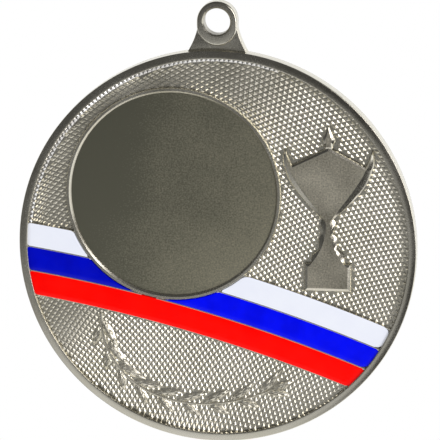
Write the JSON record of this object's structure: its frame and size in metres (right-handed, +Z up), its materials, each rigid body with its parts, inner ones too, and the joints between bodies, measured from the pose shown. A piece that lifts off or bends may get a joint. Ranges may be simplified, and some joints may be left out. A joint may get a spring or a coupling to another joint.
{
  "type": "sports finisher medal",
  "caption": "Round plated medal with a hanging lug, a recessed seat for a round emblem, a relief cup, a relief laurel branch and a slanting band of white, blue and red enamel.",
  "frame": {"origin": "middle of the hanging hole, halfway through the lug's boss", "axes": "+Z up from the disc to the lug, +Y out of the flat back along the hole, the face looks along -Y, +X to the viewer's right"},
  "size_m": [0.05, 0.0024, 0.0561],
  "materials": {
    "plated_metal": "satin",
    "white_enamel": "gloss",
    "blue_enamel": "gloss",
    "red_enamel": "gloss"
  },
  "bodies": {
    "root": {"medal_body": "plated_metal", "enamel_white_left": "white_enamel", "enamel_white_right": "white_enamel", "enamel_blue_left": "blue_enamel", "enamel_blue_right": "blue_enamel", "enamel_red": "red_enamel"}
  },
  "joints": []
}
